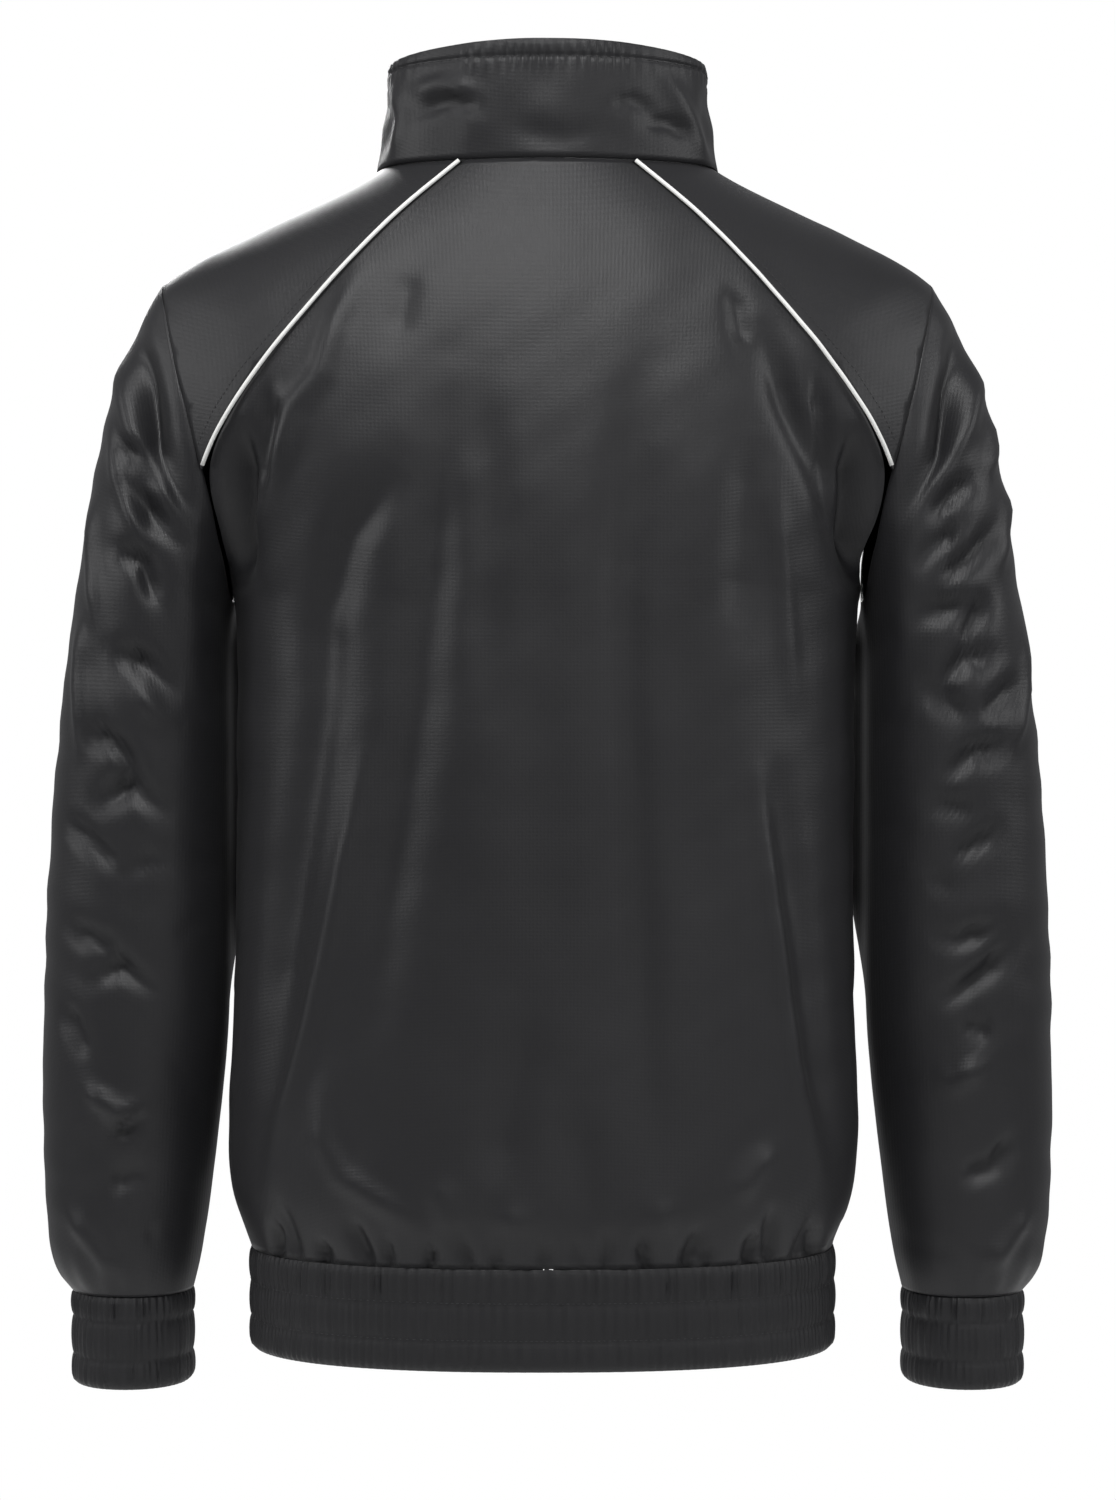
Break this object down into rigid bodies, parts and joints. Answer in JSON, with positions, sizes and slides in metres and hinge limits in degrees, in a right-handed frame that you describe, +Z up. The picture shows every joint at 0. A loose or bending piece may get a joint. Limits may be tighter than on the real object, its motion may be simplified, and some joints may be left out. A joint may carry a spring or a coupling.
{
  "type": "windbreaker",
  "caption": "Worn zip-up windbreaker with a stand-up collar, slanted piped yoke seams, long sleeves and gathered elastic waistband and cuffs.",
  "frame": {"origin": "centre of the neck opening, at the level where the neck meets the shoulders", "axes": "+Z up, -Y towards the front, +X towards the wearer's left"},
  "size_m": [0.5896, 0.2468, 0.7678],
  "materials": {
    "nylon": "black satin nylon",
    "rib": "black nylon gathered on elastic",
    "piping": "white piping",
    "zip_tape": "black woven tape",
    "zip_metal": "dark metal"
  },
  "bodies": {
    "jacket": {"back_panel": "nylon", "front_left": "nylon", "front_right": "nylon", "yoke_left": "nylon", "yoke_right": "nylon", "sleeve_left": "nylon", "sleeve_right": "nylon", "collar": "nylon", "waistband": "rib", "cuff_left": "rib", "cuff_right": "rib", "piping_left": "piping", "piping_right": "piping", "zip_tape_left": "zip_tape", "zip_tape_right": "zip_tape", "zip_chain": "zip_metal", "zip_box": "zip_metal", "zip_slider": "zip_metal"},
    "zip_pull": {"zip_pull": "zip_metal"}
  },
  "joints": [
    {"name": "pull_swing", "type": "hinge", "parent": "jacket", "child": "zip_pull", "pos_m": [0, -0.0828, 0.0294], "axis": [-1, 0, 0], "range_deg": [0, 150]}
  ]
}
